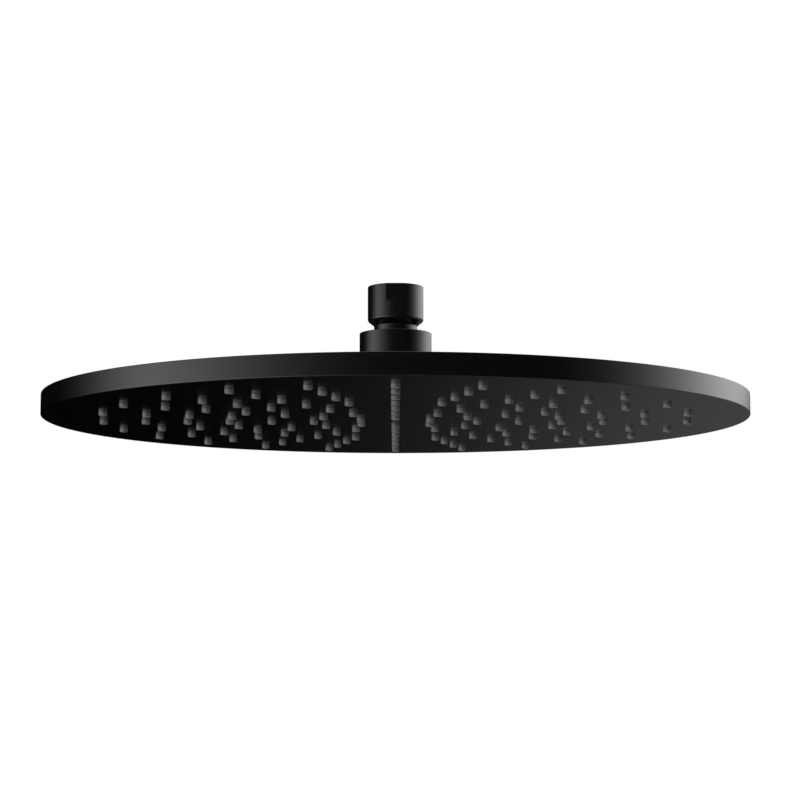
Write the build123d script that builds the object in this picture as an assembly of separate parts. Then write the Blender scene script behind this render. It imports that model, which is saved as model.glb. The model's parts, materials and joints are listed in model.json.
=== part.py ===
from build123d import *
import os
from math import acos, cos, pi, radians, sin, sqrt, tan

# A round rain shower head with a ball joint, in millimetres.
# Levels are heights above the spray face. The finished pieces are lowered together,
# so that the origin is the middle of the inlet's mouth and +Z points up the shower arm.

# Spray disc
DISC_DIAMETER = 300.0
DISC_THICKNESS = 8.6
FACE_WALL = 2.0
RIM_WALL = 3.0
RIM_LIP = 1.5
EDGE_BREAK = 0.3
COVER_WALL = 2.0
COVER_FIT = 0.1

# Nozzles: rings of 6, 12 or 24, each with a nozzle on the line through front and back.
# A nozzle and its hole have few sides, with the area of the round form.
NOZZLE_DIAMETER = 3.5
NOZZLE_LENGTH = 1.55
NOZZLE_BORE = 1.2
NOZZLE_FIT = 0.1
NOZZLE_SIDES = 8
BORE_SIDES = 4
FIRST_RING_RADIUS = 17.0
RING_PITCH = 18.0
RING_COUNTS = (6, 12, 12, 24, 24, 24, 24)

# Mat, the plate that presses it, and the water chamber's seal and screws
MAT_THICKNESS = 1.2
MAT_FIT = 0.5
RETAINER_THICKNESS = 1.6
SLOT_WIDTH = 3.2
DOWNSTAND_WIDTH = 5.4
SEAL_WIDTH = 2.4
SCREW_COUNT = 12
SCREW_DIAMETER = 2.2
SCREW_BITE = 2.6
SCREW_HEAD_DIAMETER = 3.8
SCREW_HEAD_HEIGHT = 0.9
SCREW_FIT = 0.1
SCREW_SIDES = 6

# Inlet socket, with the tapping bore of a half-inch pipe thread
THREAD_BORE = 19.0
THREAD_DEPTH = 1.1
MOUTH_CHAMFER = 1.0
SOCKET_WALL = 1.4
SOCKET_HEIGHT = 17.0
SOCKET_TAPER = 2.1
SOCKET_FLOOR = 3.5
FLAT_DEPTH = 0.7
FLAT_HEIGHT = 7.6
FLAT_CORNER = 2.5
FLAT_SPARE = 0.5
WASHER_DIAMETER = 18.6
WASHER_BORE = 13.0
WASHER_THICKNESS = 2.0
SCREEN_THICKNESS = 0.4
SCREEN_MESH = 1.8
SCREEN_WIRE = 0.8
GROOVE_SPARE = 0.6

# Flow limiter in the neck
LIMITER_DIAMETER = 15.3
LIMITER_HEIGHT = 3.6
LIMITER_FLOOR = 1.2
LIMITER_WALL = 1.2
LIMITER_POST = 5.0
LIMITER_HOLE = 1.6
LIMITER_HOLE_COUNT = 8
LIMITER_FIT = 0.1
RING_WIDTH = 1.6
RING_HEIGHT = 1.4
PASSAGE_DIAMETER = 11.0

# Neck, ball and the pieces around the ball
NECK_WALL = 1.55
NECK_SHOWN = 3.3
BALL_STEP = 2.7
BALL_DEPTH = 8.7
BALL_FLAT_LEVEL = 10.4
BALL_FIT = 0.15
TILT_EACH_WAY = 12.0
MOUTH_CLEARANCE = 0.7
LINER_THICKNESS = 1.1
LINER_LATITUDE = 22.0
LINER_SPLIT = 1.5
LINER_GAP = 0.6
LIP_LATITUDE = 24.0
SEAT_LATITUDE = 42.0
SEAT_LIP = 1.2
SEAT_FIT = 0.1
SEAT_RECESS = 0.3

# Housing, collar and hub
HOUSING_CLEARANCE = 0.3
SPIGOT_WALL = 1.7
THREAD_FIT = 0.1
COLLAR_WALL = 1.4
COLLAR_HEIGHT = 20.9
COLLAR_ROUND = 0.25
COLLAR_GAP = 0.3
SHOULDER_GAP = 0.5
FLANGE_THICKNESS = 1.0
FLANGE_INSET = 0.6
HUB_HEIGHT = 6.9
HUB_WALL = 3.9
HUB_ROUND = 1.5
HUB_FLOOR = 1.0
HUB_SEAL_THICKNESS = 1.0
WATERWAY_DIAMETER = 16.0

# Radii that follow from the sizes above, from the middle outwards
disc_radius = DISC_DIAMETER / 2
tray_radius = disc_radius - RIM_WALL
rebate_radius = disc_radius - RIM_LIP
mat_radius = tray_radius - MAT_FIT
downstand_radius = mat_radius - DOWNSTAND_WIDTH
screw_circle = mat_radius - DOWNSTAND_WIDTH / 2
thread_radius = THREAD_BORE / 2
groove_radius = thread_radius + THREAD_DEPTH
socket_radius = groove_radius + SOCKET_WALL
limiter_radius = LIMITER_DIAMETER / 2
limiter_bore = limiter_radius + LIMITER_FIT
passage_radius = PASSAGE_DIAMETER / 2
waterway_radius = WATERWAY_DIAMETER / 2
neck_radius = limiter_bore + NECK_WALL
ball_radius = neck_radius + BALL_STEP
seat_radius = ball_radius + BALL_FIT
liner_inside = ball_radius + BALL_FIT
liner_outside = liner_inside + LINER_THICKNESS
cup_radius = liner_outside + BALL_FIT
housing_bore = ball_radius + HOUSING_CLEARANCE
spigot_radius = housing_bore + SPIGOT_WALL
collar_thread = spigot_radius + THREAD_FIT
collar_radius = collar_thread + COLLAR_WALL
flange_radius = collar_radius - FLANGE_INSET
hub_bore = collar_radius - HUB_WALL
shank_radius = hub_bore - THREAD_FIT

# Levels that follow from the sizes above, from the spray face upwards
mat_top = FACE_WALL + MAT_THICKNESS
retainer_top = mat_top + RETAINER_THICKNESS
cover_underside = DISC_THICKNESS - COVER_WALL
hub_top = DISC_THICKNESS + HUB_HEIGHT
hub_floor = DISC_THICKNESS + HUB_FLOOR
shank_bottom = hub_floor + HUB_SEAL_THICKNESS
flange_top = hub_top + FLANGE_THICKNESS
collar_bottom = flange_top + COLLAR_GAP
collar_top = collar_bottom + COLLAR_HEIGHT
ball_level = collar_top - BALL_DEPTH
socket_bottom = collar_top + NECK_SHOWN
inlet_level = socket_bottom + SOCKET_HEIGHT
washer_seat = socket_bottom + SOCKET_FLOOR
washer_bottom = washer_seat + SCREEN_THICKNESS
groove_top = washer_bottom + WASHER_THICKNESS + GROOVE_SPARE
limiter_seat = washer_seat - LIMITER_HEIGHT
liner_travel = liner_outside * sin(radians(TILT_EACH_WAY))
spigot_top = ball_level - liner_travel - LINER_GAP
shoulder_level = spigot_top + SHOULDER_GAP
seat_bore = seat_radius * cos(radians(SEAT_LATITUDE))
seat_bottom = ball_level - seat_radius * sin(radians(SEAT_LATITUDE)) - SEAT_LIP
seat_top = spigot_top - SEAT_RECESS


def turned(*edges):
    """Turn a closed outline of edges, drawn as radius and level, about the vertical axis."""
    return revolve(Plane.XZ * make_face(list(edges)), Axis.Z)


def turned_polygon(*corners):
    """Turn a closed outline of straight edges about the vertical axis."""
    return turned(Polyline(*corners, close=True))


def ring(inside, outside, bottom, top):
    """A plain ring between two radii and two levels."""
    return turned_polygon((inside, bottom), (outside, bottom), (outside, top), (inside, top))


def on_ball(radius, latitude):
    """Radius and level of a point on a sphere about the ball's centre."""
    angle = radians(latitude)
    return radius * cos(angle), ball_level + radius * sin(angle)


def ball_arc(radius, low, high):
    """Arc on a sphere about the ball's centre, between two latitudes in degrees."""
    middle = (low + high) / 2
    return ThreePointArc(on_ball(radius, low), on_ball(radius, middle), on_ball(radius, high))


def latitude_of_level(radius, level):
    """Latitude in degrees where a sphere about the ball's centre meets a level."""
    return 90 - acos((level - ball_level) / radius) * 180 / pi


def small_round(diameter, sides):
    """A polygon with the area of a circle."""
    corner_radius = diameter / 2 * sqrt(2 * pi / (sides * sin(2 * pi / sides)))
    return RegularPolygon(corner_radius, sides)


def prisms(places, shape, bottom, top):
    """One upright prism of a sketch at each place."""
    sketch = Sketch() + [place * shape for place in places]
    return Pos(0, 0, bottom) * extrude(sketch, top - bottom)


def ring_radius(index):
    """Radius of one ring of nozzles, counted from the middle."""
    return FIRST_RING_RADIUS + index * RING_PITCH


def nozzle_places():
    """Where the nozzles stand, ring by ring."""
    places = []
    for index, count in enumerate(RING_COUNTS):
        places += list(PolarLocations(ring_radius(index), count, start_angle=90))
    return places


def screw_places():
    """Where the retainer's screws stand."""
    return list(PolarLocations(screw_circle, SCREW_COUNT, start_angle=90))


def slot_places():
    """Radial slots over the nozzles: one sketch for each run of rings with the same count."""
    slots = []
    first = 0
    while first < len(RING_COUNTS):
        count = RING_COUNTS[first]
        last = first
        while last + 1 < len(RING_COUNTS) and RING_COUNTS[last + 1] == count:
            last += 1
        length = ring_radius(last) - ring_radius(first) + SLOT_WIDTH
        middle = (ring_radius(first) + ring_radius(last)) / 2
        slot = Rectangle(length, SLOT_WIDTH)
        slots += [place * slot for place in PolarLocations(middle, count, start_angle=90)]
        first = last + 1
    return slots


def make_spray_face():
    """Tray: the spray face and the rim in one moulding, with a hole for each nozzle."""
    tray = turned_polygon(
        (0, 0),
        (disc_radius - EDGE_BREAK, 0),
        (disc_radius, EDGE_BREAK),
        (disc_radius, DISC_THICKNESS - EDGE_BREAK),
        (disc_radius - EDGE_BREAK, DISC_THICKNESS),
        (rebate_radius, DISC_THICKNESS),
        (rebate_radius, cover_underside),
        (tray_radius, cover_underside),
        (tray_radius, FACE_WALL),
        (0, FACE_WALL),
    )
    hole = small_round(NOZZLE_DIAMETER + 2 * NOZZLE_FIT, NOZZLE_SIDES)
    return tray - prisms(nozzle_places(), hole, 0, FACE_WALL)


def make_nozzle_mat():
    """Soft mat on the inside of the face, with every nozzle moulded on it and bored through."""
    places = nozzle_places()
    nozzle = small_round(NOZZLE_DIAMETER, NOZZLE_SIDES)
    bore = small_round(NOZZLE_BORE, BORE_SIDES)
    sheet = Pos(0, 0, FACE_WALL) * extrude(Circle(mat_radius), MAT_THICKNESS)
    mat = sheet + prisms(places, nozzle, -NOZZLE_LENGTH, FACE_WALL)
    return mat - prisms(places, bore, -NOZZLE_LENGTH, mat_top)


def make_mat_retainer():
    """Plate that presses the mat on the face, with a radial slot over each row of nozzles."""
    plate = Circle(mat_radius) - slot_places()
    plate = Pos(0, 0, mat_top) * extrude(plate, RETAINER_THICKNESS)
    shank_hole = small_round(SCREW_DIAMETER + 2 * SCREW_FIT, SCREW_SIDES)
    head_hole = small_round(SCREW_HEAD_DIAMETER + 2 * SCREW_FIT, SCREW_SIDES)
    plate -= prisms(screw_places(), shank_hole, mat_top, retainer_top)
    return plate - prisms(screw_places(), head_hole, mat_top, mat_top + SCREW_HEAD_HEIGHT)


def make_retainer_screws():
    """Small screws from below, with their heads let into the retainer."""
    head_top = mat_top + SCREW_HEAD_HEIGHT
    head = small_round(SCREW_HEAD_DIAMETER, SCREW_SIDES)
    shank = small_round(SCREW_DIAMETER, SCREW_SIDES)
    heads = prisms(screw_places(), head, mat_top, head_top)
    return heads + prisms(screw_places(), shank, head_top, retainer_top + SCREW_BITE)


def make_chamber_seal():
    """Square ring that the water presses outwards against the cover's downstand."""
    return ring(downstand_radius - SEAL_WIDTH, downstand_radius, retainer_top, cover_underside)


def make_back_cover():
    """Flat cover let into the rim, with a downstand round the chamber and the hub on its middle."""
    cover = turned(
        Polyline(
            (collar_radius + HUB_ROUND, DISC_THICKNESS),
            (rebate_radius - COVER_FIT, DISC_THICKNESS),
            (rebate_radius - COVER_FIT, cover_underside),
            (mat_radius, cover_underside),
            (mat_radius, retainer_top),
            (downstand_radius, retainer_top),
            (downstand_radius, cover_underside),
            (waterway_radius, cover_underside),
            (waterway_radius, hub_floor),
            (hub_bore, hub_floor),
            (hub_bore, hub_top),
            (collar_radius, hub_top),
            (collar_radius, DISC_THICKNESS + HUB_ROUND),
        ),
        RadiusArc(
            (collar_radius, DISC_THICKNESS + HUB_ROUND),
            (collar_radius + HUB_ROUND, DISC_THICKNESS),
            -HUB_ROUND,
        ),
    )
    pilot = small_round(SCREW_DIAMETER + 2 * SCREW_FIT, SCREW_SIDES)
    return cover - prisms(screw_places(), pilot, retainer_top, retainer_top + SCREW_BITE)


def make_housing_seal():
    """Flat washer between the hub's floor and the housing's shank."""
    return ring(waterway_radius, shank_radius, hub_floor, shank_bottom)


def make_ball_housing():
    """Threaded spigot that holds the ball's seat, with a flange on the hub and a shank inside it."""
    return turned_polygon(
        (waterway_radius, shank_bottom),
        (shank_radius, shank_bottom),
        (shank_radius, hub_top),
        (flange_radius, hub_top),
        (flange_radius, flange_top),
        (spigot_radius, flange_top),
        (spigot_radius, spigot_top),
        (housing_bore, spigot_top),
        (housing_bore, seat_bottom),
        (waterway_radius, seat_bottom),
    )


def make_ball_seat():
    """Rubber cup under the ball, in the housing's bore."""
    outside = housing_bore - SEAT_FIT
    top_latitude = latitude_of_level(seat_radius, seat_top)
    arc = ball_arc(seat_radius, -SEAT_LATITUDE, top_latitude)
    return turned(
        arc,
        Polyline(
            on_ball(seat_radius, top_latitude),
            (outside, seat_top),
            (outside, seat_bottom),
            (seat_bore, seat_bottom),
            on_ball(seat_radius, -SEAT_LATITUDE),
        ),
    )


def make_ball_liner():
    """Split slip ring between the ball's upper half and the collar."""
    liner = turned(
        ball_arc(liner_inside, 0, LINER_LATITUDE),
        Line(on_ball(liner_inside, LINER_LATITUDE), on_ball(liner_outside, LINER_LATITUDE)),
        ball_arc(liner_outside, 0, LINER_LATITUDE),
        Line(on_ball(liner_inside, 0), on_ball(liner_outside, 0)),
    )
    return liner - Pos(0, liner_outside, ball_level) * Box(LINER_SPLIT, liner_outside, 2 * liner_outside)


def make_collar():
    """Union nut on the spigot, with a round cup for the liner and a mouth that lets the neck tilt."""
    lip = on_ball(cup_radius, LIP_LATITUDE)
    tilt_corner = acos(cos(radians(TILT_EACH_WAY)) ** 2)
    mouth_radius = neck_radius / cos(tilt_corner) + BALL_DEPTH * tan(tilt_corner) + MOUTH_CLEARANCE
    return turned(
        ball_arc(cup_radius, 0, LIP_LATITUDE),
        Polyline(lip, (mouth_radius, collar_top), (collar_radius - COLLAR_ROUND, collar_top)),
        RadiusArc(
            (collar_radius - COLLAR_ROUND, collar_top),
            (collar_radius, collar_top - COLLAR_ROUND),
            COLLAR_ROUND,
        ),
        Polyline(
            (collar_radius, collar_top - COLLAR_ROUND),
            (collar_radius, collar_bottom),
            (collar_thread, collar_bottom),
            (collar_thread, shoulder_level),
            (cup_radius, shoulder_level),
            on_ball(cup_radius, 0),
        ),
    )


def wrench_flats():
    """The two cuts that leave a flat on the front and the back of the socket's top."""
    flat_width = 2 * sqrt(socket_radius**2 - (socket_radius - FLAT_DEPTH) ** 2)
    slab = RectangleRounded(flat_width + 2 * FLAT_SPARE, 2 * FLAT_HEIGHT, FLAT_CORNER)
    cut = extrude(Plane.XZ * Pos(0, inlet_level) * slab, FLAT_DEPTH)
    cut = Pos(0, FLAT_DEPTH - socket_radius, 0) * cut
    return cut + Rot(0, 0, 180) * cut


def make_ball_connector():
    """Turned piece with the ball, the neck and the socket that tapers to it, bored for the water."""
    flat_latitude = -90 + acos(BALL_FLAT_LEVEL / ball_radius) * 180 / pi
    neck_latitude = acos(neck_radius / ball_radius) * 180 / pi
    body = turned(
        ball_arc(ball_radius, flat_latitude, neck_latitude),
        Polyline(
            on_ball(ball_radius, neck_latitude),
            (neck_radius, socket_bottom),
            (socket_radius, socket_bottom + SOCKET_TAPER),
            (socket_radius, inlet_level),
            (thread_radius + MOUTH_CHAMFER, inlet_level),
            (thread_radius, inlet_level - MOUTH_CHAMFER),
            (thread_radius, groove_top),
            (groove_radius, groove_top),
            (groove_radius, washer_seat),
            (limiter_bore, washer_seat),
            (limiter_bore, limiter_seat),
            (passage_radius, limiter_seat),
            (passage_radius, ball_level - BALL_FLAT_LEVEL),
            on_ball(ball_radius, flat_latitude),
        ),
    )
    return body - wrench_flats()


def make_flow_limiter():
    """Insert with a ring of holes round a post, over which the elastic ring lies."""
    insert = turned_polygon(
        (0, limiter_seat),
        (limiter_radius, limiter_seat),
        (limiter_radius, washer_seat),
        (limiter_radius - LIMITER_WALL, washer_seat),
        (limiter_radius - LIMITER_WALL, limiter_seat + LIMITER_FLOOR),
        (LIMITER_POST / 2, limiter_seat + LIMITER_FLOOR),
        (LIMITER_POST / 2, washer_seat),
        (0, washer_seat),
    )
    hole_circle = (LIMITER_POST / 2 + limiter_radius - LIMITER_WALL) / 2
    places = PolarLocations(hole_circle, LIMITER_HOLE_COUNT)
    hole = small_round(LIMITER_HOLE, NOZZLE_SIDES)
    return insert - prisms(places, hole, limiter_seat, limiter_seat + LIMITER_FLOOR)


def make_limiter_ring():
    """Elastic ring round the limiter's post."""
    inside = LIMITER_POST / 2
    bottom = limiter_seat + LIMITER_FLOOR
    return ring(inside, inside + RING_WIDTH, bottom, bottom + RING_HEIGHT)


def make_filter_screen():
    """Screen on the socket's floor, with square meshes over the water's way."""
    pitch = SCREEN_MESH + SCREEN_WIRE
    half = int(WASHER_BORE / 2 / pitch)
    centres = [(x * pitch, y * pitch) for x in range(-half, half + 1) for y in range(-half, half + 1)]
    reach = WASHER_BORE / 2 - SCREEN_MESH / sqrt(2)
    meshes = [Pos(x, y) * Rectangle(SCREEN_MESH, SCREEN_MESH) for x, y in centres if x * x + y * y < reach**2]
    screen = extrude(Circle(WASHER_DIAMETER / 2) - meshes, SCREEN_THICKNESS)
    return Pos(0, 0, washer_seat) * screen


def make_inlet_washer():
    """Flat washer on the screen, which seals the end of the shower arm."""
    return ring(WASHER_BORE / 2, WASHER_DIAMETER / 2, washer_bottom, washer_bottom + WASHER_THICKNESS)


PIECES = {
    "spray_face": make_spray_face,
    "nozzle_mat": make_nozzle_mat,
    "mat_retainer": make_mat_retainer,
    "retainer_screws": make_retainer_screws,
    "chamber_seal": make_chamber_seal,
    "back_cover": make_back_cover,
    "housing_seal": make_housing_seal,
    "ball_housing": make_ball_housing,
    "ball_seat": make_ball_seat,
    "ball_liner": make_ball_liner,
    "collar": make_collar,
    "ball_connector": make_ball_connector,
    "flow_limiter": make_flow_limiter,
    "limiter_ring": make_limiter_ring,
    "filter_screen": make_filter_screen,
    "inlet_washer": make_inlet_washer,
}

os.makedirs("parts", exist_ok=True)
for name, make in PIECES.items():
    export_step(Pos(0, 0, -inlet_level) * make(), f"parts/{name}.step")
print(f"ball centre at z {ball_level - inlet_level:.3f}, spray face at z {-inlet_level:.3f}")
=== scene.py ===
# %% [markdown]
# # A rain shower head, dressed around its solids
# The solids of this shower head already have their sizes and move on a ball joint. This lesson
# gives them their looks. Each solid is turned again with fine rounds, the nozzles become truly
# round, the inlet gets its pipe thread, and every surface gets the finish of its real material.
# The solids are loaded first, because they say where everything goes.

# %% Load the solids
import json
from math import acos, asin, cos, degrees, exp, pi, radians, sin, sqrt, tan

import bmesh
import bpy
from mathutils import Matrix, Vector


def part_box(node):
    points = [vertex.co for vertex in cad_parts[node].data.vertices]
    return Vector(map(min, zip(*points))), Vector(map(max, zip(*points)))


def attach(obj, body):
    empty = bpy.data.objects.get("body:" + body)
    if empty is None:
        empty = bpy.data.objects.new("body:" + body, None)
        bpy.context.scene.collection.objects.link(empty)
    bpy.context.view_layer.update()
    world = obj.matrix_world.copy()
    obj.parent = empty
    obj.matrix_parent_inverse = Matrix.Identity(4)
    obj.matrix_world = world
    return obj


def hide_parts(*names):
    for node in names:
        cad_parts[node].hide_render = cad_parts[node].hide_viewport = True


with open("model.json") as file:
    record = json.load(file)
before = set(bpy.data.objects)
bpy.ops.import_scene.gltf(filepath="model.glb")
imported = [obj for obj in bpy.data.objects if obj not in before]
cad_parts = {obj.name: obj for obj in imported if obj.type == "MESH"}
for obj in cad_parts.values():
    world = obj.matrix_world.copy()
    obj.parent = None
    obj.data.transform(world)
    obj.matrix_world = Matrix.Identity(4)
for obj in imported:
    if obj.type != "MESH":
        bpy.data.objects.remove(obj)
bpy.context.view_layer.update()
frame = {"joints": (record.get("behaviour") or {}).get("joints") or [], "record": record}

MM = 0.001
body_of = {}
for body, nodes in frame["record"]["behaviour"]["bodies"].items():
    for node in nodes:
        body_of[node] = body

# %% [markdown]
# ## Measuring the solids
# Nearly every piece is round about one vertical axis, so three numbers say most about it: how far
# it reaches from the axis, and its lowest and highest level. They could be typed in again, but
# reading them from the solids keeps each new piece exactly where its solid is. Only what a box
# can't tell, such as a wall's thickness, is given below. All sizes are in millimetres.


# %% Read each solid's reach
def reach(node):
    """Outer radius, lowest level and highest level of one solid, in millimetres."""
    low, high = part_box(node)
    return high.x / MM, low.z / MM, high.z / MM


disc_radius, face_level, disc_top = reach("spray_face")
mat_radius, tip_level, mat_top = reach("nozzle_mat")
_, _, retainer_top = reach("mat_retainer")
cover_radius, _, hub_top = reach("back_cover")
collar_radius, collar_bottom, collar_top = reach("collar")
socket_radius, ball_bottom, inlet_level = reach("ball_connector")
ball_level = frame["joints"][0]["pos_m"][2] / MM
print(f"disc {2 * disc_radius:.1f} across and {disc_top - face_level:.1f} thick")
print(f"below the inlet: ball centre {-ball_level:.1f}, spray face {-face_level:.1f}")

# %% [markdown]
# ## Colours and nodes
# A finish is a small tree of shader nodes. Colours are written as hex values, as a paint chart
# gives them, and one function turns them into the linear light that the shader works in. A second
# function adds any node with its settings and its links, so the finishes below read as short
# recipes. No real surface is one flat tone, so the last function lets the colour follow one
# pattern and the roughness another, each between two close limits.

# %% Helpers for finishes
# Most of a noise lies between these two values.
NOISE_LOW = 0.3
NOISE_HIGH = 0.7


def linear(hex_colour):
    """Linear red, green, blue and alpha of an sRGB hex colour."""
    channels = [int(hex_colour[start:start + 2], 16) / 255 for start in (1, 3, 5)]
    light = [c / 12.92 if c <= 0.04045 else ((c + 0.055) / 1.055) ** 2.4 for c in channels]
    return light + [1.0]


def add(tree, kind, inputs=None, **settings):
    """Add one node: settings are its own choices, inputs are values or the sockets to link."""
    node = tree.nodes.new(kind)
    for name, value in settings.items():
        setattr(node, name, value)
    for name, value in (inputs or {}).items():
        if isinstance(value, bpy.types.NodeSocket):
            tree.links.new(value, node.inputs[name])
        else:
            node.inputs[name].default_value = value
    return node


def new_finish(name):
    """An empty material with its tree, its surface shader and its place on the object."""
    finish = bpy.data.materials.new(name)
    finish.use_nodes = True
    tree = finish.node_tree
    shader = tree.nodes["Principled BSDF"]
    place = add(tree, "ShaderNodeTexCoord").outputs["Object"]
    return finish, tree, shader, place


def vary(tree, shader, tone, tones, gloss, roughness):
    """Let a finish's colour follow one pattern and its roughness another, between two limits."""
    colours = {"Factor": tone, "A": linear(tones[0]), "B": linear(tones[1])}
    colour = add(tree, "ShaderNodeMix", colours, data_type="RGBA")
    limits = {
        "Value": gloss, "From Min": NOISE_LOW, "From Max": NOISE_HIGH,
        "To Min": roughness[0], "To Max": roughness[1],
    }
    rough = add(tree, "ShaderNodeMapRange", limits)
    tree.links.new(colour.outputs["Result"], shader.inputs["Base Color"])
    tree.links.new(rough.outputs["Result"], shader.inputs["Roughness"])


print("helpers for finishes ready")

# %% [markdown]
# ## Satin black coat on moulded ABS
# The disc is ABS, injection moulded and then sprayed with a satin black coat. A sprayed film
# levels out into soft ripples about a millimetre wide, so highlights on it have a slightly
# restless edge. The pigment is near black, and nearly all that the eye sees is reflection. The
# ripple could be modelled, but it is only some microns deep, so a bump from a noise is the right
# tool.

# %% Coat on the disc
COAT_TONES = ("#060607", "#09090a")
COAT_ROUGHNESS = (0.12, 0.16)
COAT_IOR = 1.5
PEEL_WIDTH = 1.4
PEEL_DEPTH = 0.012
CLOUD_WIDTH = 22.0

satin_coat_on_abs, tree, shader, place = new_finish("satin_black_coat_on_moulded_abs")
peel = add(
    tree, "ShaderNodeTexNoise",
    {"Vector": place, "Scale": 1 / (PEEL_WIDTH * MM), "Detail": 1.0},
).outputs["Fac"]
cloud = add(
    tree, "ShaderNodeTexNoise",
    {"Vector": place, "Scale": 1 / (CLOUD_WIDTH * MM), "Detail": 3.0},
).outputs["Fac"]
ripple = add(tree, "ShaderNodeBump", {"Height": peel, "Distance": PEEL_DEPTH * MM})
vary(tree, shader, cloud, COAT_TONES, cloud, COAT_ROUGHNESS)
tree.links.new(ripple.outputs["Normal"], shader.inputs["Normal"])
shader.inputs["IOR"].default_value = COAT_IOR
print(satin_coat_on_abs.name)

# %% [markdown]
# ## The same coat on turned brass
# The connector and the collar are brass, turned on a lathe and coated like the disc. Their coat is
# drawn a shade lighter than the disc's. That lift is painted light: a painted reflection that
# greys the shaded underside of the socket. The tool leaves fine rings that the coat nearly fills.
# A wave texture in horizontal bands draws them. The real feed is about 0.1 mm, too fine to show,
# so it is drawn at 0.35 mm.

# %% Coat on the turned pieces
# Lighter than the disc's coat: a painted reflection on the shaded underside of the socket.
BRASS_COAT_AND_PAINTED_REFLECTION_TONES = ("#0b0b0c", "#0f0f10")
BRASS_PEEL_WIDTH = 0.9
BRASS_PEEL_DEPTH = 0.006
BRASS_CLOUD_WIDTH = 9.0
LATHE_FEED = 0.35
LATHE_DEPTH = 0.001
# At a scale of 1, the wave texture repeats at this length.
WAVE_PERIOD = 2 * pi / 20

satin_coat_on_brass_with_painted_reflection, tree, shader, place = new_finish("satin_black_coat_with_painted_reflection_on_turned_brass")
peel = add(
    tree, "ShaderNodeTexNoise",
    {"Vector": place, "Scale": 1 / (BRASS_PEEL_WIDTH * MM), "Detail": 1.0},
).outputs["Fac"]
cloud = add(
    tree, "ShaderNodeTexNoise",
    {"Vector": place, "Scale": 1 / (BRASS_CLOUD_WIDTH * MM), "Detail": 3.0},
).outputs["Fac"]
rings = add(
    tree, "ShaderNodeTexWave",
    {
        "Vector": place, "Scale": WAVE_PERIOD / (LATHE_FEED * MM),
        "Distortion": 1.5, "Detail": 1.0,
    },
    bands_direction="Z",
).outputs["Fac"]
lathe = add(tree, "ShaderNodeBump", {"Height": rings, "Distance": LATHE_DEPTH * MM})
ripple = add(
    tree, "ShaderNodeBump",
    {"Height": peel, "Distance": BRASS_PEEL_DEPTH * MM, "Normal": lathe.outputs["Normal"]},
)
vary(tree, shader, cloud, BRASS_COAT_AND_PAINTED_REFLECTION_TONES, cloud, COAT_ROUGHNESS)
tree.links.new(ripple.outputs["Normal"], shader.inputs["Normal"])
shader.inputs["IOR"].default_value = COAT_IOR
print(satin_coat_on_brass_with_painted_reflection.name)

# %% [markdown]
# ## Moulded silicone
# The nozzles and the mat behind them are one moulding of grey silicone, which a thumb can rub free
# of scale. Silicone has a dry, soft gloss, so it is rougher than the coat and much lighter beside
# it. Its mould was spark eroded, which leaves a fine even grain, drawn coarser than the real one,
# at 0.35 mm, so that it shows.

# %% Silicone
SILICONE_TONES = ("#78787a", "#808082")
SILICONE_ROUGHNESS = (0.42, 0.55)
SILICONE_IOR = 1.41
GRAIN_WIDTH = 0.35
GRAIN_DEPTH = 0.01
TONE_WIDTH = 6.0

moulded_silicone, tree, shader, place = new_finish("moulded_grey_silicone")
grain = add(
    tree, "ShaderNodeTexNoise",
    {"Vector": place, "Scale": 1 / (GRAIN_WIDTH * MM), "Detail": 2.0},
).outputs["Fac"]
tone = add(
    tree, "ShaderNodeTexNoise",
    {"Vector": place, "Scale": 1 / (TONE_WIDTH * MM), "Detail": 2.0},
).outputs["Fac"]
bump = add(tree, "ShaderNodeBump", {"Height": grain, "Distance": GRAIN_DEPTH * MM})
vary(tree, shader, tone, SILICONE_TONES, grain, SILICONE_ROUGHNESS)
tree.links.new(bump.outputs["Normal"], shader.inputs["Normal"])
shader.inputs["IOR"].default_value = SILICONE_IOR
print(moulded_silicone.name)

# %% [markdown]
# ## Moulded plastics and rubber inside
# The plate behind the mat is plain grey polypropylene. The slip ring of the ball and the flow
# limiter are natural acetal, which is white and waxy, and the seals are black nitrile rubber. All
# have the fine matt skin of a mould, drawn about as coarse as the silicone's, so one recipe with
# different tones serves them.

# %% Grey polypropylene, natural acetal and nitrile rubber
FLOW_WIDTH = 15.0
SKIN_DEPTH = 0.008
ROUGHNESS_STEP = 0.1


def moulded_plastic(name, tones, grain_width, roughest, index):
    """A moulded plastic with a fine matt skin and slow changes of tone."""
    finish, tree, shader, place = new_finish(name)
    grain = add(
        tree, "ShaderNodeTexNoise",
        {"Vector": place, "Scale": 1 / (grain_width * MM), "Detail": 2.0},
    ).outputs["Fac"]
    flow = add(
        tree, "ShaderNodeTexNoise",
        {"Vector": place, "Scale": 1 / (FLOW_WIDTH * MM), "Detail": 2.0},
    ).outputs["Fac"]
    bump = add(tree, "ShaderNodeBump", {"Height": grain, "Distance": SKIN_DEPTH * MM})
    vary(tree, shader, flow, tones, grain, (roughest - ROUGHNESS_STEP, roughest))
    tree.links.new(bump.outputs["Normal"], shader.inputs["Normal"])
    shader.inputs["IOR"].default_value = index
    print(name)
    return finish


moulded_polypropylene = moulded_plastic(
    "moulded_grey_polypropylene", ("#949596", "#8b8c8e"), 0.5, 0.5, 1.49
)
natural_acetal = moulded_plastic("moulded_natural_acetal", ("#e8e6df", "#dfddd5"), 0.4, 0.38, 1.48)
moulded_rubber = moulded_plastic(
    "moulded_black_nitrile_rubber", ("#1c1c1c", "#252525"), 0.3, 0.65, 1.52
)

# %% [markdown]
# ## Bare metals
# The housing inside the collar is turned brass, and the screen and the small screws are stainless
# steel. A metal has no body colour of its own: its tint is the colour of its reflection, so
# metallic is full on and the tint goes into the base colour. The rings that the tool leaves are
# the detail that shows, drawn coarser than the real 0.1 mm, as on the coated pieces.

# %% Bare brass and stainless steel
TARNISH_WIDTH = 5.0
RING_DEPTH = 0.002


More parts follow.
